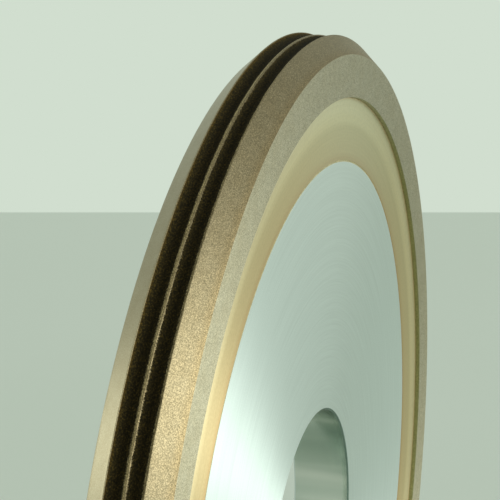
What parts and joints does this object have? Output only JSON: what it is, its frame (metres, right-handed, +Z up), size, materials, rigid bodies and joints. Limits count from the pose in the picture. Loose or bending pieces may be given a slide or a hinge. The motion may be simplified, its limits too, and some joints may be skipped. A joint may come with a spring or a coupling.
{
  "type": "diamond grinding wheel",
  "caption": "Peripheral grinding wheel: metal-bond diamond rim with chamfers and round grooves, bronze foundation ring, aluminium core with a plain spindle bore.",
  "frame": {"origin": "centre of the wheel, on the bore's axis and midway between the two sides", "axes": "+Y along the spindle axis; -Y is the side that a mounting nut or outer flange faces, +Y the spindle side; +Z is up as the wheel stands on its rim"},
  "size_m": [0.175, 0.012, 0.175],
  "materials": {
    "turned_aluminium": "fine turned",
    "adhesive": "cured film",
    "turned_bronze": "fine turned",
    "diamond_bond": "ground matte with diamond grit"
  },
  "bodies": {
    "root": {"core": "turned_aluminium", "bond_film": "adhesive", "foundation_ring": "turned_bronze", "diamond_rim": "diamond_bond"}
  },
  "joints": []
}
